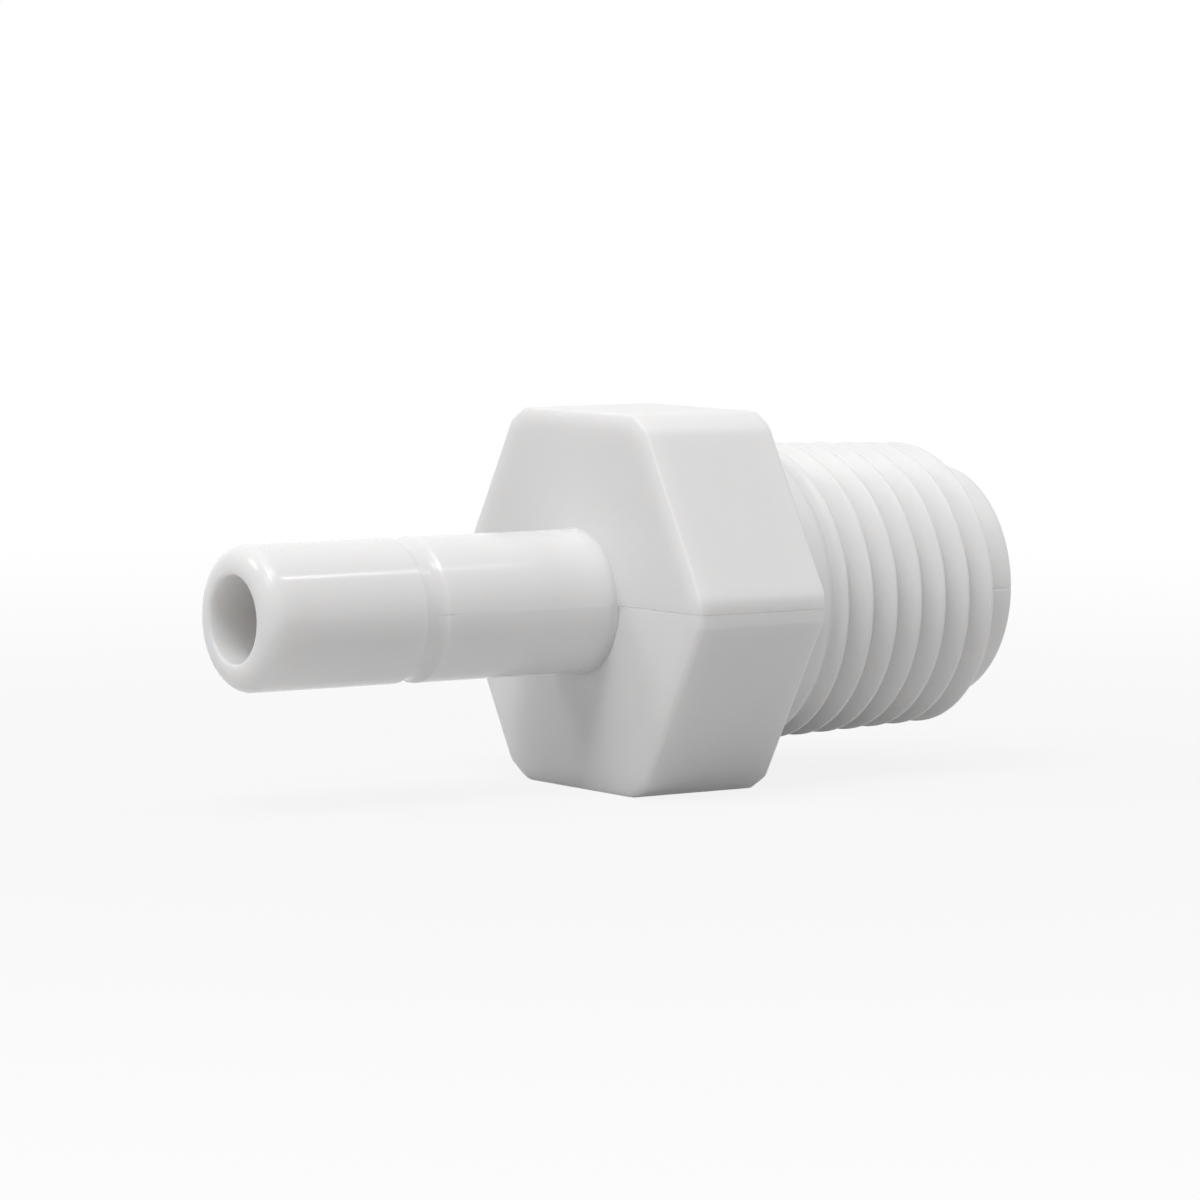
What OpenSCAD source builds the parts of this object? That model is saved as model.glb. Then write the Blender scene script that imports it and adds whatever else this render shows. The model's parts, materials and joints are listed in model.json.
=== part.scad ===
// Moulded plastic adapter: a smooth tube stem, a hexagon for a spanner and a tapered male pipe thread.
// The axis is X. The stem points to -X, the thread to +X, and the hexagon lies on its lower flat.
// The origin is on the axis, in the face of the hexagon that the stem grows out of.

/* [Tube stem] */
// Outside diameter of the stem, the size of the tube that it stands in for
stem_d = 6.35; // [5:0.05:8]
// How much thicker the stem is between the groove and the hexagon
stem_swell = 0.04; // [0:0.01:0.05]
// Length of the stem, from the hexagon to its tip
stem_length = 17.75; // [14:0.05:24]
// Radius of the round nose at the tip
nose_radius = 1.0; // [0.4:0.05:1.2]
// Diameter of the bore through the stem
bore_d = 3.8; // [2.4:0.1:4.2]
// Radius of the rounded lip of the bore
lip_radius = 0.15; // [0.05:0.01:0.2]

/* [Grip groove] */
// Distance from the hexagon to the nearer edge of the groove
groove_distance = 8.7; // [4:0.05:11]
// Width of the groove at the surface of the stem
groove_width = 1.15; // [0.8:0.05:1.6]
// Depth of the groove
groove_depth = 0.18; // [0.1:0.01:0.3]

/* [Hexagon] */
// Width across the flats
hex_flats = 16.86; // [16:0.02:20]
// Thickness along the axis
hex_thickness = 7.0; // [5:0.1:10]
// How far the six sharp corners are trimmed back, to a round outline
corner_trim = 0.34; // [0.1:0.02:0.8]
// Radius of the edges round both faces
hex_edge_radius = 0.35; // [0.2:0.05:0.6]

/* [Pipe thread] */
// Diameter over the crests where the thread meets the hexagon
thread_d = 13.7; // [13:0.01:14.5]
// Distance from one crest to the next
thread_pitch = 1.411; // [1.2:0.001:1.6]
// Loss of diameter for each millimetre of length
thread_taper = 0.0625; // [0:0.0005:0.07]
// Depth of the groove, measured from the crests
thread_depth = 0.9; // [0.7:0.01:0.95]
// Width of the flat on the crests
crest_width = 0.16; // [0.1:0.01:0.25]
// Angle between the two flanks
flank_angle = 60; // [56:0.5:62]
// Length of the threaded stretch, from the hexagon
thread_length = 12.5; // [9:0.05:15]
// Angle, counted from the back, at which a crest comes out of the hexagon
thread_turn = 84; // [0:1:359]
// Flat pieces in one turn of the thread
thread_facets = 48; // [36:4:56]

/* [Pilot] */
// Diameter of the plain end beyond the thread
pilot_d = 10.8; // [10.4:0.02:11]
// Length of the plain end
pilot_length = 1.15; // [0.8:0.05:2]
// Radius of the edge of the plain end
pilot_edge_radius = 0.1; // [0.05:0.05:0.4]

/* [Cored inside] */
// Diameter of the wide bore in the thread
core_d = 8.0; // [6.5:0.1:8.4]
// Thickness left between the wide bore and the stem's side of the hexagon
core_floor = 3.2; // [2:0.1:4]
// Angle of the cone that joins the two bores, seen from side to side
core_cone_angle = 90; // [60:5:120]

/* [Hidden] */
$fn = 96;
overlap = 0.6;
clear = 1;
stem_r = stem_d / 2;
back_r = stem_r + stem_swell / 2;
bore_r = bore_d / 2;
core_r = core_d / 2;
pilot_r = pilot_d / 2;
hex_end = hex_thickness;
thread_end = hex_end + thread_length;
body_end = thread_end + pilot_length;
// The groove is an arc that cuts the surface at its two edges
groove_arc_r = (groove_width * groove_width / 4 + groove_depth * groove_depth) / (2 * groove_depth);
groove_middle = groove_distance + groove_width / 2;
corner_r = hex_flats / 2 / cos(30) - corner_trim;
core_cone_length = (core_r - bore_r) / tan(core_cone_angle / 2);
flank_run = thread_depth * tan(flank_angle / 2);
root_width = thread_pitch - crest_width - 2 * flank_run;
// One pitch of the thread form, from the far edge of a crest: [distance along the axis, depth]
thread_form = [
    [0, 0],
    [flank_run, thread_depth],
    [flank_run + root_width, thread_depth],
    [thread_pitch - crest_width, 0]
];
lines_per_turn = len(thread_form);
// The skin begins whole turns inside the hexagon and ends past the thread's end, where it is cut off
lead_turns = 2;
thread_start = hex_end - lead_turns * thread_pitch;
thread_turns = lead_turns + ceil(thread_length / thread_pitch) + 1;
thread_lines = lines_per_turn * thread_turns + 1;

// Turns a shape that was made along Z so that it lies along the axis of the part
module along_axis(start = 0) {
    translate([start, 0, 0])
        rotate([0, 90, 0])
            children();
}

// Half section of the stem, with its tip up
module stem_section() {
    difference() {
        union() {
            square([stem_r, stem_length - nose_radius]);
            square([back_r, groove_middle]);
            square([stem_r - nose_radius, stem_length]);
            translate([stem_r - nose_radius, stem_length - nose_radius])
                circle(r = nose_radius);
        }
        translate([stem_r + groove_arc_r - groove_depth, groove_middle])
            circle(r = groove_arc_r);
    }
}

module stem() {
    rotate([0, -90, 0])
        translate([0, 0, -overlap])
            cylinder(r = back_r, h = 2 * overlap);
    rotate([0, -90, 0])
        rotate_extrude()
            stem_section();
}

// Section between two opposite sides, with the rolled edges of both faces
module rolled_section(half) {
    edge = hex_edge_radius;
    translate([edge - half, 0])
        square([2 * (half - edge), hex_thickness]);
    translate([-half, edge])
        square([2 * half, hex_thickness - 2 * edge]);
    for (y = [edge - half, half - edge], z = [edge, hex_thickness - edge])
        translate([y, z])
            circle(r = edge);
}

// Three pairs of flats that cross, with the corners trimmed by a disc with the same rolled edges
module hexagon() {
    along_axis()
        intersection() {
            intersection_for (k = [0:2])
                rotate([90, 0, 60 * k])
                    linear_extrude(height = 2 * hex_flats, center = true)
                        rolled_section(hex_flats / 2);
            rotate_extrude()
                intersection() {
                    rolled_section(corner_r);
                    square([corner_r, hex_thickness]);
                }
        }
}

// Radius over the crests at a place along the axis
function crest_r(x) = (thread_d - (x - hex_end) * thread_taper) / 2;

// A point of the thread: line 0 is the first crest, and each line makes one turn
function thread_point(line, turn) =
    let (
        form = thread_form[line % lines_per_turn],
        x = thread_start + thread_pitch * (floor(line / lines_per_turn) + turn) + form[0],
        r = crest_r(x) - form[1],
        a = 360 * turn + thread_turn
    )
    [x, r * cos(a), r * sin(a)];

// Number of a point, where the last point of a line is the first of the line one turn on
function thread_index(line, step) =
    step < thread_facets
        ? (line < thread_lines ? line * thread_facets + step
                               : thread_lines * thread_facets + line - thread_lines)
        : thread_index(line + lines_per_turn, 0);

// Right-hand helical thread on a taper, as one closed skin
module thread() {
    points = concat(
        [for (line = [0:thread_lines - 1], step = [0:thread_facets - 1])
            thread_point(line, step / thread_facets)],
        [for (line = [thread_lines:thread_lines + lines_per_turn - 1]) thread_point(line, 0)],
        [[thread_start + thread_pitch / 2, 0, 0],
         [thread_point(thread_lines, 0)[0], 0, 0]]
    );
    near_axis = len(points) - 2;
    far_axis = len(points) - 1;
    last = thread_lines - 1;
    skin = [for (line = [0:last - 1], step = [0:thread_facets - 1])
        let (
            a = thread_index(line, step),
            b = thread_index(line, step + 1),
            c = thread_index(line + 1, step + 1),
            d = thread_index(line + 1, step)
        )
        each [[a, c, b], [a, d, c]]
    ];
    near_cap = concat(
        [for (step = [0:thread_facets - 1])
            [near_axis, thread_index(0, step), thread_index(0, step + 1)]],
        [for (line = [0:lines_per_turn - 1])
            [near_axis, thread_index(line + 1, 0), thread_index(line, 0)]]
    );
    far_cap = concat(
        [for (step = [0:thread_facets - 1])
            [far_axis, thread_index(last, step + 1), thread_index(last, step)]],
        [for (line = [last:last + lines_per_turn - 1])
            [far_axis, thread_index(line, 0), thread_index(line + 1, 0)]]
    );
    intersection() {
        polyhedron(points = points, faces = concat(skin, near_cap, far_cap), convexity = 10);
        along_axis(hex_end - overlap)
            cylinder(r = thread_d, h = thread_length + overlap);
    }
}

// Plain end that leads the thread into its socket
module pilot() {
    along_axis(thread_end - overlap)
        rotate_extrude() {
            square([pilot_r, overlap + pilot_length - pilot_edge_radius]);
            square([pilot_r - pilot_edge_radius, overlap + pilot_length]);
            translate([pilot_r - pilot_edge_radius, overlap + pilot_length - pilot_edge_radius])
                circle(r = pilot_edge_radius);
        }
}

// The passage: a narrow bore through the stem and a wide one cored from the thread's end
module passage() {
    along_axis(-stem_length - clear)
        cylinder(r = bore_r, h = stem_length + core_floor + 2 * clear);
    along_axis(core_floor)
        cylinder(r1 = bore_r, r2 = core_r, h = core_cone_length);
    along_axis(core_floor + core_cone_length)
        cylinder(r = core_r, h = body_end - core_floor - core_cone_length + clear);
    along_axis(-stem_length)
        rotate_extrude()
            difference() {
                square([bore_r + lip_radius, lip_radius]);
                translate([bore_r + lip_radius, lip_radius])
                    circle(r = lip_radius);
            }
}

module adapter_body() {
    color("whitesmoke")
        difference() {
            union() {
                stem();
                hexagon();
                thread();
                pilot();
            }
            passage();
        }
}

adapter_body();
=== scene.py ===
"""A moulded plastic stem adapter, with the stage that it is shown on.

The part has a smooth tube stem, a hexagon for a spanner and a tapered male pipe thread. Lengths
are in metres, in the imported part's own frame: X runs along the part from the stem to the thread,
Z is up, and the origin is on the axis in the face of the hexagon that the stem grows out of.
Angles about the axis are counted from the back, +Y, over the top, +Z.
"""

import json
import math

import bmesh
import bpy
import numpy as np
from bpy.props import FloatProperty, FloatVectorProperty, IntProperty, PointerProperty
from mathutils import Matrix, Vector


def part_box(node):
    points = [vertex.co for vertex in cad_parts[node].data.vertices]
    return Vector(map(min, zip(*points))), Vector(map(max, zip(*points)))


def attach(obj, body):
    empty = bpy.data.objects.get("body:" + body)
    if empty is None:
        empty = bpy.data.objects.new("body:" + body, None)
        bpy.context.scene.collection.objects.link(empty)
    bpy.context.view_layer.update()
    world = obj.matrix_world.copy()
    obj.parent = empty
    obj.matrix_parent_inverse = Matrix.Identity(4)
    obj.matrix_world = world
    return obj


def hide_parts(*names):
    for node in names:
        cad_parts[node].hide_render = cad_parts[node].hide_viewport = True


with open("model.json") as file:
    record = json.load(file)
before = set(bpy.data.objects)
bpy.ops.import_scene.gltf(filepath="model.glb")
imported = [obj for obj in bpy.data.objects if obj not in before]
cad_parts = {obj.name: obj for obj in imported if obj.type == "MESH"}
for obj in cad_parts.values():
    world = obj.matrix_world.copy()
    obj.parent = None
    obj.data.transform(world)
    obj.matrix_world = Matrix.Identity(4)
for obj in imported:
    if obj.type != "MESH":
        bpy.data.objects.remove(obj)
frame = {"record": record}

bl_info = {
    "name": "Stem adapter",
    "version": (1, 0, 0),
    "blender": (4, 5, 0),
    "location": "3D View > Sidebar > Stem adapter",
    "description": "Builds a moulded plastic stem adapter and the stage that it is shown on",
    "category": "Add Mesh",
}

NODE = "adapter_body"
BODY = "root"
MM = 0.001
# Distance between the two rows that keep a corner crisp
CLOSE = 0.02 * MM
# Points nearer to each other than this are merged
MERGE = 0.0005 * MM
# Edges that turn more than this, in degrees, are shaded as sharp
SHARP = 40
# Share of the columns of half a side of the hexagon that lie on its trimmed corner
CORNER_COLUMNS = 0.35
# Rows of the hexagon's near face, as shares of the way from the stem's root to the edge
FACE_ROWS = (0.004, 0.014, 0.025, 0.045, 0.2, 0.4, 0.6, 0.8, 0.93, 0.99)
# Rows of the hexagon's flats, as shares of the way from the near edge to the far one
FLAT_ROWS = (0.003, 0.01, 0.06, 0.3, 0.5, 0.7, 0.94, 0.99, 0.997)
# Points of the hexagon before this place belong to its near face
FACE_DEPTH = 0.14 * MM
# Shares of the grip groove's width at which its step ends and its deepest line lies
GROOVE_STEP = 0.05
GROOVE_FLOOR = 0.4
# Columns whose angle from the parting plane has a smaller sine than this lie at a parting line
AT_PARTING = 0.02
# Stretch of the plain end, back from the far end, that the parting line marks
MARKED_END = 1.1 * MM
# Points that lie further than this outside the passage belong to the outside of the part
WALL = 0.5 * MM
LOW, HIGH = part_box(NODE)
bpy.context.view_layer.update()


def mount_size(name, key):
    """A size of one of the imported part's mounts, in metres."""
    mounts = {mount["name"]: mount for mount in frame["record"]["mounts"]}
    return mounts[name]["dims"][key] * MM


def length(name, description, default):
    """A length in metres."""
    return FloatProperty(
        name=name, description=description, default=default, unit="LENGTH", precision=6
    )


def angle(name, description, degrees):
    """An angle, given in degrees and kept in radians."""
    return FloatProperty(
        name=name, description=description, default=math.radians(degrees), subtype="ANGLE"
    )


def share(name, description, default):
    """A number from 0 to 1."""
    return FloatProperty(
        name=name, description=description, default=default, min=0, max=1, subtype="FACTOR"
    )


def colour(name, description, default):
    """A colour without alpha."""
    return FloatVectorProperty(
        name=name, description=description, default=default, size=3, min=0, max=1, subtype="COLOR"
    )


class StemSizes(bpy.types.PropertyGroup):
    """The tube stem and the passage through the part."""

    radius: length("Radius", "Outside radius of the stem", mount_size("tube_stem", "r_mm"))
    swell: length("Swell", "How far the stem stands out between groove and hexagon", 0.02 * MM)
    bore: length("Bore", "Radius of the bore in the stem", mount_size("stem_bore", "r_mm"))
    lip: length("Lip", "Radius of the rounded lip of the bore", 0.15 * MM)
    nose_along: length("Nose length", "Length of the round nose along the axis", 0.82 * MM)
    nose_across: length("Nose depth", "Depth of the round nose across the axis", 1.05 * MM)
    groove_start: length("Groove", "Place of the groove's edge nearer the tip", -9.85 * MM)
    groove_width: length("Groove width", "Width of the groove at the surface", 1.15 * MM)
    groove_depth: length("Groove depth", "Depth of the groove", 0.18 * MM)
    groove_edge: length("Groove edge", "Radius of the groove's edge nearer the tip", 0.08 * MM)
    root: length("Root fillet", "Fillet between the stem and the hexagon", 0.08 * MM)
    core: length("Core", "Radius of the wide bore", mount_size("thread_bore", "r_mm"))
    core_floor: length("Core floor", "Place where the cone to the wide bore starts", 3.2 * MM)


class HexagonSizes(bpy.types.PropertyGroup):
    """The hexagon for a spanner."""

    half_flats: length("Half across flats", "Distance from the axis to a flat", HIGH.z)
    thickness: length("Thickness", "Thickness along the axis", 7.0 * MM)
    corner_trim: length("Corner trim", "Trim of the corners, to a round outline", 0.34 * MM)
    far_trim: length("Far trim", "Extra trim of the lower corner at the back", 0.08 * MM)
    upper_blend: length("Upper blend", "Depth of the soft change to a corner, above", 0.12 * MM)
    lower_blend: length("Lower blend", "Depth of the soft change to a corner, below", 0.05 * MM)
    upper_edge: length("Upper edge", "Radius of the tight edges round the faces, above", 0.12 * MM)
    lower_edge: length("Lower edge", "Radius of the tight edges round the faces, below", 0.32 * MM)
    edge_sweep: angle("Edge sweep", "Angle at which the edges meet the flats", 76)
    fall: length("Fall", "How far inwards the faces start to fall away to their edges", 0.75 * MM)
    fall_angle: angle("Fall angle", "Angle to which the faces have fallen away at their edges", 16)


class ThreadSizes(bpy.types.PropertyGroup):
    """The tapered pipe thread and the plain end beyond it."""

    diameter: length("Diameter", "Diameter over the crests at the hexagon", 13.7 * MM)
    pitch: length("Pitch", "Distance from one crest to the next", 1.411 * MM)
    taper: share("Taper", "Loss of diameter for each unit of length", 0.0625)
    depth: length("Depth", "Depth of the thread", 0.9 * MM)
    crest_width: length("Crest width", "Width of a crest between its two flanks", 0.16 * MM)
    flank: angle("Flank angle", "Angle between a flank and the plane square to the axis", 30)
    crest_round: length("Crest rounding", "Radius of the rounded crests", 0.1 * MM)
    root_round: length("Root rounding", "Radius of the rounded roots", 0.17 * MM)
    reach: length("Length", "Length of the threaded stretch", 12.0 * MM)
    neck: length("Neck", "Plain stretch between the hexagon and the thread", 1.6 * MM)
    runout: length("Runout", "Stretch over which the thread comes to its depth", 1.6 * MM)
    turn: angle("Turn", "Angle at which a crest comes out of the hexagon", 84)
    pilot: length("Pilot radius", "Radius of the plain end beyond the thread", 5.4 * MM)
    pilot_edge: length("Pilot edge", "Radius of the plain end's outer edge", 0.1 * MM)
    mouth_edge: length("Mouth edge", "Radius of the edge round the wide bore", 0.1 * MM)


class MeshFineness(bpy.types.PropertyGroup):
    """How finely the surfaces are divided."""

    columns: IntProperty(name="Columns", description="Even columns round the axis", default=240)
    arc_steps: IntProperty(name="Arc steps", description="Steps in a small round edge", default=6)
    form_steps: IntProperty(name="Form steps", description="Steps in a thread rounding", default=3)


class PartingLine(bpy.types.PropertyGroup):
    """The marks that the two halves of the mould left where they met."""

    width: length("Width", "Half width of the fine groove along the parting line", 0.045 * MM)
    depth: length("Depth", "Depth of the fine groove", 0.06 * MM)
    nick: length("Nick", "Depth of the nick in the wall of the grip groove", 0.09 * MM)
    crease: length("Crease", "Depth of the crease round the stem's root, below", 0.12 * MM)
    root_flat: angle("Ridge at the hexagon", "Half angle of the blunt ridge at the root", 7)
    tip_flat: angle("Ridge at the groove", "Half angle of the blunt ridge at the groove", 3.5)


class PlasticFinish(bpy.types.PropertyGroup):
    """The white moulded plastic."""

    white: colour("White", "Colour of the plastic", (0.875, 0.872, 0.873))
    shade: colour("Shade", "Colour of the slightly darker clouds", (0.855, 0.852, 0.853))
    roughness: share("Roughness", "Roughness of the hexagon and the thread", 0.38)
    stem_roughness: share("Stem roughness", "Roughness of the smoother stem", 0.16)
    gloss: share("Gloss", "Strength of the skin's gloss, where 0.5 is that of its refraction", 0.4)
    translucency: share("Translucency", "Share of light that travels under the skin", 1.0)
    reach: length("Reach", "How far light travels under the skin", 0.85 * MM)
    clouds: length("Clouds", "Size of the faint clouds in the colour", 4 * MM)
    grain: length("Grain", "Size of the fine grain in the skin", 0.12 * MM)
    waves: length("Waves", "Size of the low waves in the skin", 1.6 * MM)
    unevenness: length("Unevenness", "Height of the grain and the waves", 0.004 * MM)
    relief: share("Relief", "How strongly the grain and the waves show", 0.25)


class StageSettings(bpy.types.PropertyGroup):
    """The floor, the light and the camera."""

    floor: colour("Floor", "Colour of the floor", (0.56, 0.56, 0.56))
    floor_radius: length("Floor radius", "Radius of the floor", 2.0)
    plain: share("Plain white", "Share of plain white in the floor beside the part", 0.86)
    fade_start: length("Fade start", "Distance at which the floor starts to whiten", 20 * MM)
    fade_end: length("Fade end", "Distance at which the floor is plain white", 160 * MM)
    ambient: FloatProperty(name="Ambient", description="Strength of the world's light", default=0.4)
    lens: FloatProperty(name="Lens", description="Focal length in mm on 36 mm", default=161.893)
    azimuth: angle("Azimuth", "Camera's angle round the part, from the front", -35.031)
    elevation: angle("Elevation", "Camera's angle above the horizon", 4.930)
    roll: angle("Roll", "Camera's turn about its own line of sight", 0.1986)
    distance: length("Distance", "From the camera to the origin, along its view", 239.931 * MM)
    side: length("Side", "How far the view passes the origin to the right", 1.1326 * MM)
    rise: length("Rise", "How far the view passes above the origin", 0.0206 * MM)


def arc(centre, radii, start, end, steps):
    """Rows of a half section along an arc: x = cx + a cos t and r = cr + b sin t, for t from start
    to end in degrees, where centre is (cx, cr) and radii is (a, b)."""
    t = np.radians(np.linspace(start, end, steps + 1))
    return np.stack([centre[0] + radii[0] * np.cos(t), centre[1] + radii[1] * np.sin(t)], axis=1)


def line(start, end, shares=(0.0, 1.0)):
    """Rows of a half section at the given shares of the way from start to end."""
    s = np.array(shares)[:, None]
    return np.array(start) * (1 - s) + np.array(end) * s


def column_angles(fineness, parting):
    """Angles of the even columns, and for the columns beside the two parting lines the height
    above the parting plane that they keep: each is [angle, side, height]."""
    step = 2 * np.pi / fineness.columns
    even = np.arange(fineness.columns) * step
    rows = [np.stack([even, np.zeros_like(even), np.zeros_like(even)], axis=1)]
    for middle in (0.0, np.pi):
        for side in (-1, 1):
            for height in (0.5, 1.0):
                turn = (middle + side * height * step / 2) % (2 * np.pi)
                rows.append(np.array([[turn, side, height * parting.width]]))
    rows = np.concatenate(rows)
    return rows[np.argsort(rows[:, 0], kind="stable")]


def angles_at(radius, columns, fineness):
    """Angle of every column at a radius: an even column keeps its angle, and a column beside a
    parting line keeps its height above the parting plane, as far as the columns' order allows."""
    step = 2 * np.pi / fineness.columns
    middle = np.round(columns[:, 0] / np.pi) * np.pi
    limit = np.abs(columns[:, 0] - middle)
    beside = np.arcsin(np.clip(columns[:, 2] / radius, 0, 1))
    beside = np.minimum(beside, np.minimum(1.6 * limit, 0.9 * step))
    return np.where(columns[:, 1] == 0, columns[:, 0], middle + columns[:, 1] * beside)


def ring_points(x, radius, turn):
    """Points of rows of rings about the X axis: y = r cos a and z = r sin a."""
    x, radius, turn = np.broadcast_arrays(x, radius, turn)
    return np.stack([x, radius * np.cos(turn), radius * np.sin(turn)], axis=-1)


def section_rings(section, columns, fineness):
    """Rings of a half section of [x, r] rows that is the same all the way round."""
    radius = section[:, 1:2]
    return ring_points(section[:, 0:1], radius, angles_at(radius, columns, fineness))


def hexagon_columns(turn, sizes):
    """Angles of the columns on the hexagon, drawn together where a flat meets a trimmed corner.
    With c the angle from the nearest corner, as a share of half a side, a column before the share
    m goes to M (1 - (1 - c / m)^1.6), and one after it to M + (1 - M) ((c - m) / (1 - m))^1.8,
    where M is the place at which the flat meets the corner."""
    side = np.pi / 3
    middle = np.round(turn / side) * side
    c = np.abs(turn - middle) / (side / 2)
    rim = sizes.half_flats / math.cos(side / 2) - sizes.corner_trim
    meeting = 1 - math.acos(sizes.half_flats / rim) / (side / 2)
    m = CORNER_COLUMNS
    before = meeting * (1 - (1 - np.clip(c / m, 0, 1)) ** 1.6)
    after = meeting + (1 - meeting) * np.clip((c - m) / (1 - m), 0, 1) ** 1.8
    return middle + np.sign(turn - middle) * np.where(c < m, before, after) * side / 2


def hexagon_radius(turn, inset, sizes):
    """Distance from the axis to the hexagon's outline, moved inwards by inset. With c the angle
    from the nearest corner, it is the smaller of (h - inset) / cos(30 - c) along a flat and the
    trimmed rim, with a soft change between them that is wider above the parting plane. The lower
    corner at the back, at 300 degrees, is trimmed a little more."""
    c = np.abs((turn + np.pi / 6) % (np.pi / 3) - np.pi / 6)
    flat = (sizes.half_flats - inset) / np.cos(np.pi / 6 - c)
    low_back = np.abs(turn % (2 * np.pi) - 5 * np.pi / 3) < np.pi / 6
    rim = sizes.half_flats / math.cos(math.pi / 6) - sizes.corner_trim - inset
    rim = rim - low_back * sizes.far_trim
    blend = np.where((np.sin(turn) > 0) | low_back, sizes.upper_blend, sizes.lower_blend)
    share = np.clip(0.5 + (flat - rim) / (2 * blend), 0, 1)
    return flat * (1 - share) + rim * share - blend * share * (1 - share)


def hexagon_rings(stem, sizes, columns, fineness):
    """Rings of the hexagon from the stem's root over the near face, an edge, the flats and the
    other edge. A face first falls away along a wide arc of radius w that turns through the angle
    f, and then along a tight one of radius e that turns on to the sweep s, so the outline moves in
    by the sum of w (sin f - sin t) and e (sin s - sin t), where t is the angle reached on each arc.
    The radius e is smaller above the parting plane than below it."""
    wide = sizes.fall / math.sin(sizes.fall_angle)
    slow = np.linspace(0, sizes.fall_angle, fineness.arc_steps + 1)
    tight = np.linspace(sizes.fall_angle, sizes.edge_sweep, fineness.arc_steps + 2)[1:]
    turn = hexagon_columns(angles_at(sizes.half_flats, columns, fineness), sizes)
    above = np.clip(0.5 + 6 * np.sin(turn), 0, 1)
    edge = sizes.lower_edge + (sizes.upper_edge - sizes.lower_edge) * above
    tight_run = math.sin(sizes.edge_sweep) - math.sin(sizes.fall_angle)
    slow_inset = edge * tight_run + (sizes.fall - wide * np.sin(slow))[:, None]
    tight_inset = edge * (math.sin(sizes.edge_sweep) - np.sin(tight))[:, None]
    slow_depth = np.broadcast_to(wide * (1 - np.cos(slow))[:, None], slow_inset.shape)
    tight_depth = slow_depth[-1] + edge * (math.cos(sizes.fall_angle) - np.cos(tight))[:, None]
    inset = np.concatenate([slow_inset, tight_inset])
    depth = np.concatenate([slow_depth, tight_depth])
    radius = hexagon_radius(turn, inset, sizes)
    near_edge = ring_points(depth, radius, turn)
    s = np.array(FACE_ROWS)[:, None]
    start_radius = stem.radius + stem.swell + stem.root
    face_radius = start_radius * (1 - s) + radius[0] * s
    face_turn = angles_at(start_radius, columns, fineness) * (1 - s) + turn * s
    face = ring_points(0.0, face_radius, face_turn)
    edge_depth = depth[-1]
    places = edge_depth + np.array(FLAT_ROWS)[:, None] * (sizes.thickness - 2 * edge_depth)
    flats = ring_points(places, radius[-1], turn)
    far_edge = ring_points(sizes.thickness - depth[::-1], radius[::-1], turn)
    return np.concatenate([face, near_edge, flats, far_edge])


def thread_form(sizes, steps):
    """One pitch of the thread as [distance along the axis from the middle of a crest, depth]: a
    flat crest, an arc, a straight flank and an arc into the root, and the same mirrored."""
    t = np.linspace(0, np.pi / 2 - sizes.flank, steps + 1)
    cut = math.tan((math.pi / 2 - sizes.flank) / 2)
    crest_end = sizes.crest_width / 2 - sizes.crest_round * cut
    flank_run = sizes.depth * math.tan(sizes.flank)
    root_start = sizes.crest_width / 2 + flank_run + sizes.root_round * cut
    rounding = np.stack([np.sin(t), 1 - np.cos(t)], axis=1)
    crest = [crest_end, 0] + sizes.crest_round * rounding
    root = [root_start, sizes.depth] - sizes.root_round * rounding[::-1]
    flank_middle = (crest[-1] + root[0]) / 2
    root_middle = [sizes.pitch / 2, sizes.depth]
    half = np.concatenate([[[0, 0]], crest, [flank_middle], root, [root_middle]])
    mirrored = np.stack([sizes.pitch - half[-2:0:-1, 0], half[-2:0:-1, 1]], axis=1)
    return np.concatenate([half, mirrored])


def thread_radius(x, turn, start, form, sizes):
    """Radius of the threaded surface: the crest radius, which falls with x by half the taper, less
    the depth of the form at the distance from the last crest, x - x0 - pitch * turn / full turn.
    Past the plain neck the depth grows with ((x - start - neck) / runout)^2 to its full value."""
    crest = (start - sizes.pitch * sizes.turn / (2 * np.pi)) - sizes.crest_width / 2
    along = (x - crest - sizes.pitch * turn / (2 * np.pi)) % sizes.pitch
    depth = np.interp(along, form[:, 0], form[:, 1], period=sizes.pitch)
    depth = depth * np.clip((x - start - sizes.neck) / sizes.runout, 0, 1) ** 2
    return (sizes.diameter - (x - start) * sizes.taper) / 2 - depth


def thread_rows(start, sizes, columns, fineness):
    """Rows that follow the crests and roots as helices. Row j of the form's n rows, at angle a, is
    at x = x0 + pitch * (turns before it + a / full turn), held between the start and the end of
    the threaded stretch. The last column joins the first one n rows further on."""
    form = thread_form(sizes, fineness.form_steps)
    end = start + sizes.reach
    first = start - sizes.pitch * sizes.turn / (2 * np.pi) - sizes.crest_width / 2 - sizes.pitch
    turns = math.ceil((end - first) / sizes.pitch) + 1
    places = first + (np.arange(turns)[:, None] * sizes.pitch + form[:, 0]).reshape(-1, 1)
    turn = angles_at(sizes.diameter / 2 - sizes.depth / 2, columns, fineness)
    x = np.clip(places + sizes.pitch * turn / (2 * np.pi), start, end)
    radius = thread_radius(x, turn, start, form, sizes)
    return ring_points(x, radius, turn), len(form)


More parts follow.
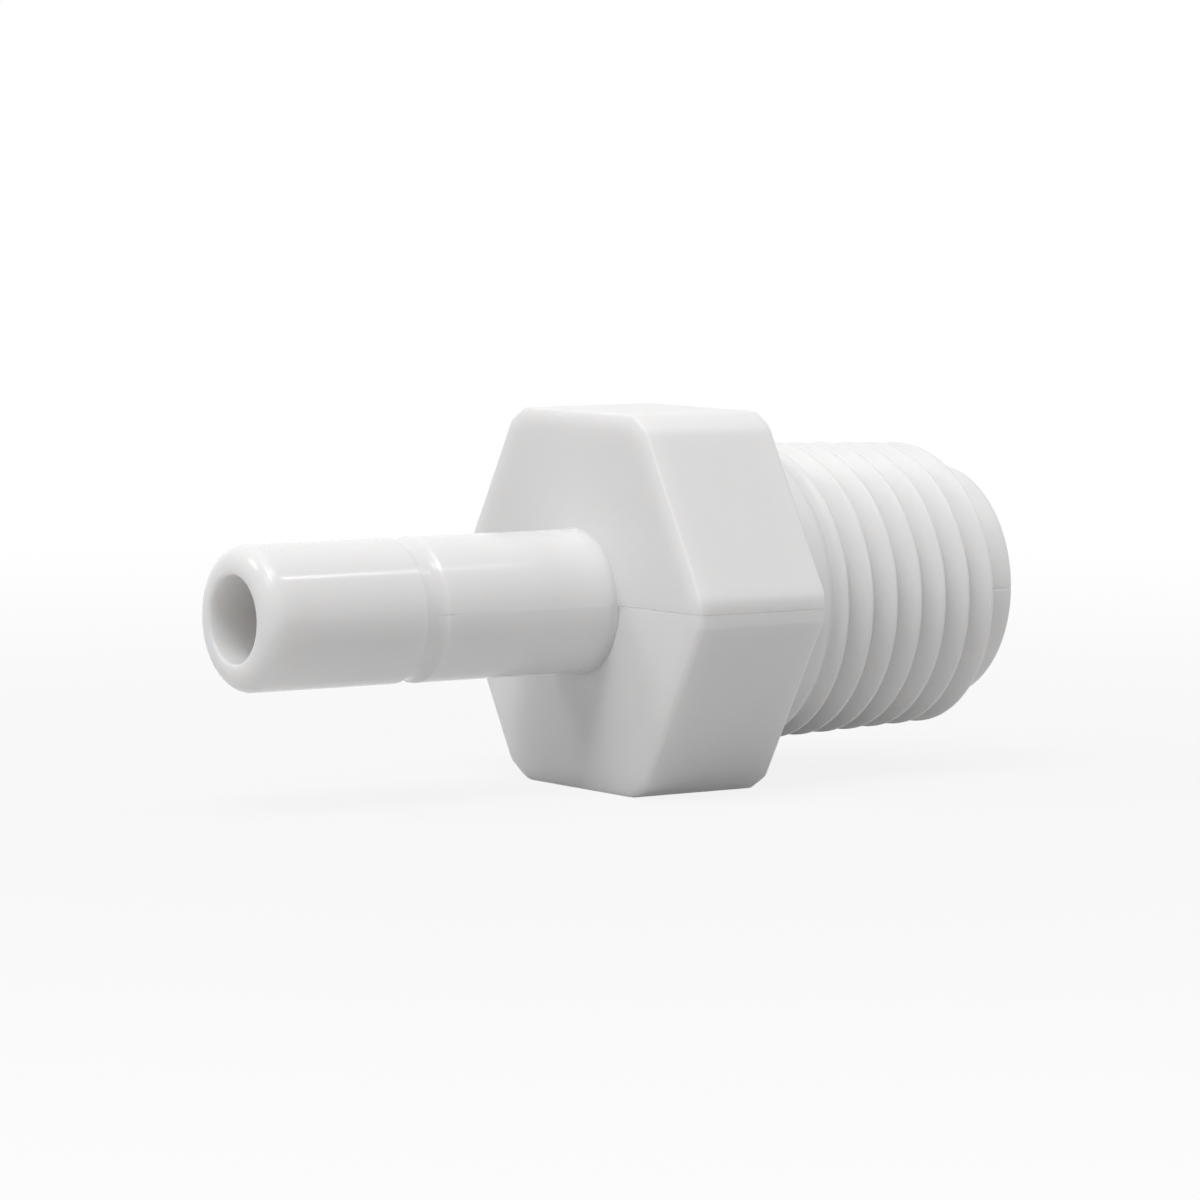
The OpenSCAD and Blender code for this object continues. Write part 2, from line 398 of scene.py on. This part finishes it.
def stem_section(stem):
    """Half section of the passage's mouth and the stem, from inside the bore to the root fillet.
    The groove falls over a small round step on the tip's side. With u the share of its width and f
    the place of its deepest line, its depth is then d (1 - 0.2 ((f - u) / f)^2), and past f it
    rises to the thicker stretch as d - (d + swell) ((u - f) / (1 - f))^2.6."""
    tip = LOW.x
    back = stem.radius + stem.swell
    nose = (tip + stem.nose_along, stem.radius - stem.nose_across)
    edge = stem.groove_edge
    brink = stem.groove_start - 0.4 * edge
    groove_end = stem.groove_start + stem.groove_width
    u = np.linspace(GROOVE_STEP, 1, 24)
    before = stem.groove_depth * (1 - 0.2 * ((GROOVE_FLOOR - u) / GROOVE_FLOOR) ** 2)
    past = np.clip((u - GROOVE_FLOOR) / (1 - GROOVE_FLOOR), 0, 1) ** 2.6
    after = stem.groove_depth - (stem.groove_depth + stem.swell) * past
    depth = np.where(u < GROOVE_FLOOR, before, after)
    groove = np.stack([stem.groove_start + u * stem.groove_width, stem.radius - depth], axis=1)
    behind = (0.0, 0.01, 0.035, 0.07, 0.3, 0.6, 0.97)
    return np.concatenate(
        [
            arc((tip + stem.lip, stem.bore + stem.lip), (stem.lip, stem.lip), 270, 180, 6),
            arc(nose, (stem.nose_along, stem.nose_across), 180, 90, 14),
            line((nose[0], stem.radius), (brink, stem.radius), (0.04, 0.5, 0.985, 0.995)),
            arc((brink, stem.radius - edge), (edge, edge), 90, 15, 5),
            groove,
            line((groove_end + CLOSE, back), (-stem.root, back), behind),
            arc((-stem.root, back + stem.root), (stem.root, stem.root), 270, 360, 5),
        ]
    )


def end_section(stem, thread, thread_end):
    """Half section of the plain end, the wide bore, the cone and the bore back to the lip."""
    end = HIGH.x
    edge = thread.pilot_edge
    mouth = thread.mouth_edge
    pilot = thread.pilot
    cone_end = stem.core_floor + stem.core - stem.bore
    bore = (0.02, 0.25, 0.5, 0.75, 0.97)
    return np.concatenate(
        [
            line((thread_end, pilot + CLOSE), (thread_end + CLOSE, pilot)),
            line((thread_end + 2 * CLOSE, pilot), (end - edge, pilot), (0.0, 0.5, 0.96)),
            arc((end - edge, pilot - edge), (edge, edge), 90, 0, 6),
            line((end, pilot - edge), (end, stem.core + mouth), (0.02, 0.5, 0.98)),
            arc((end - mouth, stem.core + mouth), (mouth, mouth), 0, -90, 4),
            line((end - mouth, stem.core), (cone_end, stem.core), (0.02, 0.35, 0.7, 0.99)),
            line((cone_end, stem.core), (stem.core_floor, stem.bore), (0.0, 0.02, 0.5, 0.98, 1.0)),
            line((stem.core_floor, stem.bore), (LOW.x + stem.lip, stem.bore), bore),
        ]
    )


def mark_parting(points, columns, stem, hexagon, parting):
    """Marks the two parting lines. Between groove and hexagon the stem comes to a blunt ridge:
    within the angle f of the parting plane its surface is flat, at r / cos(f - a). A fine groove
    runs over the hexagon's near face, its corner and the plain end, and a nick goes over the wall
    of the grip groove. A crease follows the stem's root below the parting plane. It deepens with
    20 |z| / r up to its full depth, and fades with 1.5 |y| / r towards the bottom."""
    x, y, z = points[..., 0], points[..., 1], points[..., 2]
    radius = np.hypot(y, z)
    off_plane = np.arcsin(np.clip(np.abs(z) / np.maximum(radius, MM), 0, 1))
    groove_end = stem.groove_start + stem.groove_width
    behind = np.clip(1 - x / groove_end, 0, 1)
    flat = parting.tip_flat + (parting.root_flat - parting.tip_flat) * behind
    on_stem = (x > groove_end) & (x < -stem.root) & (radius > stem.radius)
    ridge = np.where(on_stem & (off_plane < flat), 1 / np.cos(np.maximum(flat - off_plane, 0)), 1.0)
    near_plane = (np.abs(np.sin(columns[:, 0])) < AT_PARTING) & (columns[:, 2] < parting.width)
    fine = np.clip(1 - np.abs(z) / parting.width, 0, 1) * near_plane * parting.depth
    from_root = (radius - stem.radius - stem.swell) / stem.root
    on_face = (x > -0.01 * MM) & (x < FACE_DEPTH) & (from_root > 0.9)
    sides = np.clip(-20 * z / radius, 0, 1) * np.clip(1.5 * np.abs(y) / radius, 0, 1)
    crease = sides * (from_root < 3) * parting.crease
    points[..., 0] = np.where(on_face, x + fine + crease, x)
    on_side = (x > FACE_DEPTH) & (x < hexagon.thickness) & (radius > hexagon.half_flats * 0.9)
    on_end = (x > HIGH.x - MARKED_END) & (radius > stem.core + WALL)
    from_wall = np.abs(x - groove_end) / (stem.groove_width / 2)
    nick = np.clip(1 - from_wall, 0, 1) * (radius > stem.bore + WALL)
    cut = np.where(on_side | on_end, fine, 0.0) + nick * fine * parting.nick / parting.depth
    grow = ridge - cut / np.maximum(radius, MM)
    points[..., 1] = y * grow
    points[..., 2] = z * grow
    return points


def joining_faces(first, second, count):
    """Quads between rings that start at the points first and rings that start at the points
    second, where the last column joins the first one."""
    near = np.arange(count)
    far = (near + 1) % count
    quads = np.stack([first + near, first + far, second + far, second + near], axis=-1)
    return quads.reshape(-1, 4)


def ring_faces(first, rows, count):
    """Quads between neighbouring rings, of which the first one starts at the point first."""
    row = first + np.arange(rows)[:, None] * count
    return joining_faces(row, row + count, count)


def helix_faces(first, rows, count, lines):
    """Quads between neighbouring helical rows, where the last column joins the first one at the
    row that lies one pitch, or that many lines, further on."""
    row = np.arange(rows - 1)[:, None]
    near = np.arange(count)[None, :]
    wraps = near == count - 1
    far = np.where(wraps, 0, near + 1)
    ahead = np.where(wraps, lines, 0)
    upper = np.minimum(row + ahead, rows - 1) * count + far
    lower = np.minimum(row + 1 + ahead, rows - 1) * count + far
    corners = np.broadcast_arrays(row * count + near, upper, lower, (row + 1) * count + near)
    return first + np.stack(corners, axis=-1).reshape(-1, 4)


def body_mesh(settings):
    """The whole skin of the part as one closed surface: the rows run from the lip of the bore over
    the outside to the far end and back through the passage."""
    stem, hexagon, thread = settings.stem, settings.hexagon, settings.thread
    fineness, parting = settings.fineness, settings.parting
    columns = column_angles(fineness, parting)
    count = len(columns)
    stem_rings = section_rings(stem_section(stem), columns, fineness)
    side_rings = hexagon_rings(stem, hexagon, columns, fineness)
    outside = np.concatenate([stem_rings, side_rings])
    helix, lines = thread_rows(hexagon.thickness, thread, columns, fineness)
    end = end_section(stem, thread, hexagon.thickness + thread.reach)
    inside = section_rings(end, columns, fineness)
    outside = mark_parting(outside, columns, stem, hexagon, parting)
    inside = mark_parting(inside, columns, stem, hexagon, parting)
    points = np.concatenate([block.reshape(-1, 3) for block in (outside, helix, inside)])
    helix_first = len(outside) * count
    inside_first = helix_first + len(helix) * count
    faces = np.concatenate(
        [
            ring_faces(0, len(outside) - 1, count),
            joining_faces(helix_first - count, helix_first, count),
            helix_faces(helix_first, len(helix), count, lines),
            joining_faces(inside_first - count, inside_first, count),
            ring_faces(inside_first, len(inside) - 1, count),
            joining_faces(len(points) - count, 0, count),
        ]
    )
    return points, faces


def make_piece(name, points, faces, material):
    """A mesh object at the origin, with doubled points merged, its faces pointing outwards and
    shaded smoothly apart from its sharp corners."""
    mesh = bpy.data.meshes.new(name)
    mesh.from_pydata(points.tolist(), [], faces.tolist())
    work = bmesh.new()
    work.from_mesh(mesh)
    bmesh.ops.remove_doubles(work, verts=work.verts, dist=MERGE)
    bmesh.ops.recalc_face_normals(work, faces=work.faces)
    work.to_mesh(mesh)
    work.free()
    mesh.polygons.foreach_set("use_smooth", np.ones(len(mesh.polygons), dtype=bool))
    mesh.set_sharp_from_angle(angle=math.radians(SHARP))
    mesh.materials.append(material)
    piece = bpy.data.objects.new(name, mesh)
    bpy.context.scene.collection.objects.link(piece)
    return piece


class Nodes:
    """Places and links the nodes of one tree."""

    def __init__(self, tree):
        self.tree = tree
        self.tree.nodes.clear()

    def add(self, kind, label="", **values):
        """A node with its properties set."""
        node = self.tree.nodes.new(kind)
        node.label = label
        for key, value in values.items():
            setattr(node, key, value)
        return node

    def link(self, source, target):
        """Links an output to an input, or sets the input to a plain value."""
        if isinstance(source, bpy.types.NodeSocket):
            self.tree.links.new(source, target)
        else:
            target.default_value = source

    def math(self, operation, first, second=0.0, label=""):
        """A Math node's output."""
        node = self.add("ShaderNodeMath", label, operation=operation)
        self.link(first, node.inputs[0])
        self.link(second, node.inputs[1])
        return node.outputs[0]

    def mix_number(self, factor, first, second, label=""):
        """A number between two, by a factor."""
        node = self.add("ShaderNodeMix", label, data_type="FLOAT")
        self.link(factor, node.inputs[0])
        self.link(first, node.inputs[2])
        self.link(second, node.inputs[3])
        return node.outputs[0]

    def mix_colour(self, factor, first, second, label=""):
        """A colour between two, by a factor."""
        node = self.add("ShaderNodeMix", label, data_type="RGBA")
        self.link(factor, node.inputs[0])
        self.link(first, node.inputs[6])
        self.link(second, node.inputs[7])
        return node.outputs[2]

    def noise(self, vector, size, detail=2.0, roughness=0.5, label=""):
        """Noise whose clouds are about the given size across."""
        node = self.add("ShaderNodeTexNoise", label, noise_dimensions="3D")
        self.link(vector, node.inputs["Vector"])
        node.inputs["Scale"].default_value = 1 / size
        node.inputs["Detail"].default_value = detail
        node.inputs["Roughness"].default_value = roughness
        return node.outputs["Fac"]

    def smooth_step(self, value, start, end, label=""):
        """0 before start, 1 after end and a smooth rise between them."""
        node = self.add("ShaderNodeMapRange", label, interpolation_type="SMOOTHSTEP")
        self.link(value, node.inputs["Value"])
        node.inputs["From Min"].default_value = start
        node.inputs["From Max"].default_value = end
        return node.outputs["Result"]


def plastic_material(finish):
    """White moulded plastic, with a fine grain, faint clouds and a smoother stem."""
    material = bpy.data.materials.new("white_plastic")
    material.use_nodes = True
    nodes = Nodes(material.node_tree)
    place = nodes.add("ShaderNodeTexCoord", "Place on the part").outputs["Object"]
    axes = nodes.add("ShaderNodeSeparateXYZ", "Axes")
    nodes.link(place, axes.inputs[0])
    clouds = nodes.noise(place, finish.clouds, 3.0, 0.55, "Clouds")
    base = nodes.mix_colour(clouds, (*finish.shade, 1), (*finish.white, 1), "Plastic")
    on_hexagon = nodes.smooth_step(axes.outputs["X"], -0.3 * MM, 0.1 * MM, "Past the stem")
    roughness = nodes.mix_number(on_hexagon, finish.stem_roughness, finish.roughness, "Satin")
    grain = nodes.noise(place, finish.grain, 2.0, 0.5, "Grain")
    waves = nodes.noise(place, finish.waves, 1.0, 0.5, "Waves")
    height = nodes.math("ADD", grain, nodes.math("MULTIPLY", waves, 2.0), "Skin")
    bump = nodes.add("ShaderNodeBump", "Skin")
    bump.inputs["Strength"].default_value = finish.relief
    bump.inputs["Distance"].default_value = finish.unevenness
    nodes.link(height, bump.inputs["Height"])
    shader = nodes.add("ShaderNodeBsdfPrincipled", "Plastic")
    nodes.link(base, shader.inputs["Base Color"])
    nodes.link(roughness, shader.inputs["Roughness"])
    nodes.link(bump.outputs[0], shader.inputs["Normal"])
    shader.inputs["IOR"].default_value = 1.49
    shader.inputs["Subsurface Weight"].default_value = finish.translucency
    shader.inputs["Subsurface Scale"].default_value = finish.reach
    shader.inputs["Specular IOR Level"].default_value = finish.gloss
    shader.inputs["Subsurface Radius"].default_value = (1.0, 0.9, 0.8)
    output = nodes.add("ShaderNodeOutputMaterial")
    nodes.link(shader.outputs[0], output.inputs["Surface"])
    return material


def seen_directly(nodes):
    """1 for rays from the camera, from gloss and through glass, and 0 for the light's own."""
    ray = nodes.add("ShaderNodeLightPath", "Kind of ray").outputs
    seen = nodes.math("MAXIMUM", ray["Is Camera Ray"], ray["Is Glossy Ray"])
    return nodes.math("MAXIMUM", seen, ray["Is Transmission Ray"], "Seen directly")


def floor_material(stage):
    """A pale floor that keeps the part's shadow, and turns to the backdrop's white away from it."""
    material = bpy.data.materials.new("floor")
    material.use_nodes = True
    nodes = Nodes(material.node_tree)
    place = nodes.add("ShaderNodeTexCoord").outputs["Object"]
    far = nodes.add("ShaderNodeVectorMath", "Distance from the part", operation="LENGTH")
    nodes.link(place, far.inputs[0])
    fade = nodes.smooth_step(far.outputs["Value"], stage.fade_start, stage.fade_end, "Away")
    white = nodes.mix_number(fade, stage.plain, 1.0, "Share of plain white")
    diffuse = nodes.add("ShaderNodeBsdfDiffuse", "Floor")
    diffuse.inputs["Color"].default_value = (*stage.floor, 1)
    glow = nodes.add("ShaderNodeEmission", "Plain white")
    glow.inputs["Strength"].default_value = 1.0
    mix = nodes.add("ShaderNodeMixShader", "Floor or white")
    nodes.link(nodes.math("MULTIPLY", white, seen_directly(nodes)), mix.inputs[0])
    nodes.link(diffuse.outputs[0], mix.inputs[1])
    nodes.link(glow.outputs[0], mix.inputs[2])
    output = nodes.add("ShaderNodeOutputMaterial")
    nodes.link(mix.outputs[0], output.inputs["Surface"])
    return material


def disc_points(radius, height, count):
    """Points of a flat disc: its centre, and a ring of them round it."""
    turn = np.arange(count) * 2 * np.pi / count
    ring = np.stack([radius * np.cos(turn), radius * np.sin(turn), np.full(count, height)], axis=1)
    return np.concatenate([[[0, 0, height]], ring])


def make_floor(stage):
    """The floor, a wide disc at the height of the flat that the part lies on."""
    count = 96
    points = disc_points(stage.floor_radius, LOW.z, count)
    ring = np.arange(count)
    faces = np.stack([np.zeros(count, int), ring + 1, (ring + 1) % count + 1], axis=1)
    mesh = bpy.data.meshes.new("floor")
    mesh.from_pydata(points.tolist(), [], faces.tolist())
    mesh.materials.append(floor_material(stage))
    floor = bpy.data.objects.new("floor", mesh)
    bpy.context.scene.collection.objects.link(floor)


def make_world(stage):
    """A world that is white where it is seen, and lights the part at the ambient level."""
    world = bpy.data.worlds.new("backdrop")
    world.use_nodes = True
    nodes = Nodes(world.node_tree)
    strength = nodes.mix_number(seen_directly(nodes), stage.ambient, 1.0, "Ambient or white")
    background = nodes.add("ShaderNodeBackground", "Backdrop")
    background.inputs["Color"].default_value = (1, 1, 1, 1)
    nodes.link(strength, background.inputs["Strength"])
    output = nodes.add("ShaderNodeOutputWorld")
    nodes.link(background.outputs[0], output.inputs["Surface"])
    bpy.context.scene.world = world


def make_lamp(name, azimuth, elevation, distance, size, power):
    """A square soft light that faces the part. Its azimuth is counted as the camera's is: 0 is the
    front, -Y, and a positive one is to the right."""
    a, e = math.radians(azimuth), math.radians(elevation)
    back = Vector((math.sin(a) * math.cos(e), -math.cos(a) * math.cos(e), math.sin(e)))
    lamp = bpy.data.lights.new(name, "AREA")
    lamp.shape = "SQUARE"
    lamp.size = size
    lamp.energy = power
    holder = bpy.data.objects.new(name, lamp)
    holder.location = back * distance
    holder.rotation_mode = "QUATERNION"
    holder.rotation_quaternion = (-back).to_track_quat("-Z", "Y")
    bpy.context.scene.collection.objects.link(holder)


# Azimuth and elevation in degrees, distance and size in metres, and power in watts
LAMPS = {
    "key": (-57, 62, 0.5, 0.15, 0.56),
    "overhead": (0, 75, 0.5, 0.15, 0.36),
    "back": (-95, 70, 0.5, 0.15, 0.22),
    "left": (-80, 42, 0.5, 0.12, 0.17),
    "behind": (-124, 40, 0.5, 0.12, 0.29),
    "right": (75, 45, 0.5, 0.15, 0.12),
    "glint": (56.5, 53.7, 0.5, 0.02, 0.04),
}


def make_camera(stage):
    """The camera: its view runs beside the origin at the given side and rise, and its distance is
    counted along the view."""
    a, e = stage.azimuth, stage.elevation
    back = Vector((math.sin(a) * math.cos(e), -math.cos(a) * math.cos(e), math.sin(e)))
    right = Vector((math.cos(a), math.sin(a), 0))
    up = back.cross(right)
    turn = Matrix.Rotation(stage.roll, 3, back)
    right, up = turn @ right, turn @ up
    camera = bpy.data.cameras.new("camera")
    camera.sensor_width = 36
    camera.lens = stage.lens
    camera.clip_start = 0.01
    camera.clip_end = 10
    holder = bpy.data.objects.new("camera", camera)
    place = back * stage.distance + right * stage.side + up * stage.rise
    facing = Matrix((right, up, back)).transposed().to_4x4()
    holder.matrix_world = Matrix.Translation(place) @ facing
    bpy.context.scene.collection.objects.link(holder)
    bpy.context.scene.camera = holder


class AdapterSettings(bpy.types.PropertyGroup):
    """All the settings of the adapter and its stage."""

    stem: PointerProperty(type=StemSizes)
    hexagon: PointerProperty(type=HexagonSizes)
    thread: PointerProperty(type=ThreadSizes)
    fineness: PointerProperty(type=MeshFineness)
    parting: PointerProperty(type=PartingLine)
    finish: PointerProperty(type=PlasticFinish)
    stage: PointerProperty(type=StageSettings)


class ADAPTER_OT_body(bpy.types.Operator):
    """Build the moulded body of the adapter"""

    bl_idname = "adapter.body"
    bl_label = "Adapter body"

    def execute(self, context):
        settings = context.scene.adapter
        points, faces = body_mesh(settings)
        piece = make_piece("moulded_body", points, faces, plastic_material(settings.finish))
        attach(piece, BODY)
        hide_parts(NODE)
        return {"FINISHED"}


class ADAPTER_OT_stage(bpy.types.Operator):
    """Build the floor, the backdrop, the lamps and the camera"""

    bl_idname = "adapter.stage"
    bl_label = "Stage"

    def execute(self, context):
        stage = context.scene.adapter.stage
        make_floor(stage)
        make_world(stage)
        for name, values in LAMPS.items():
            make_lamp(name, *values)
        make_camera(stage)
        context.scene.view_settings.view_transform = "Standard"
        return {"FINISHED"}


class ADAPTER_PT_sidebar(bpy.types.Panel):
    """The adapter's operators and settings in the sidebar"""

    bl_label = "Stem adapter"
    bl_idname = "ADAPTER_PT_sidebar"
    bl_space_type = "VIEW_3D"
    bl_region_type = "UI"
    bl_category = "Stem adapter"

    def draw(self, context):
        for operator in OPERATORS:
            self.layout.operator(operator.bl_idname)
        settings = context.scene.adapter
        for name in settings.__annotations__:
            group = getattr(settings, name)
            box = self.layout.box()
            for key in group.__annotations__:
                box.prop(group, key)


GROUPS = (
    StemSizes,
    HexagonSizes,
    ThreadSizes,
    MeshFineness,
    PartingLine,
    PlasticFinish,
    StageSettings,
    AdapterSettings,
)
OPERATORS = (ADAPTER_OT_body, ADAPTER_OT_stage)
CLASSES = (*GROUPS, *OPERATORS, ADAPTER_PT_sidebar)


def register():
    for kind in CLASSES:
        bpy.utils.register_class(kind)
    bpy.types.Scene.adapter = PointerProperty(type=AdapterSettings)


def unregister():
    del bpy.types.Scene.adapter
    for kind in reversed(CLASSES):
        bpy.utils.unregister_class(kind)


def main():
    """Builds the body and the stage."""
    register()
    for step in (bpy.ops.adapter.body, bpy.ops.adapter.stage):
        if step() != {"FINISHED"}:
            raise RuntimeError("an operator could not finish")


if __name__ == "__main__":
    main()
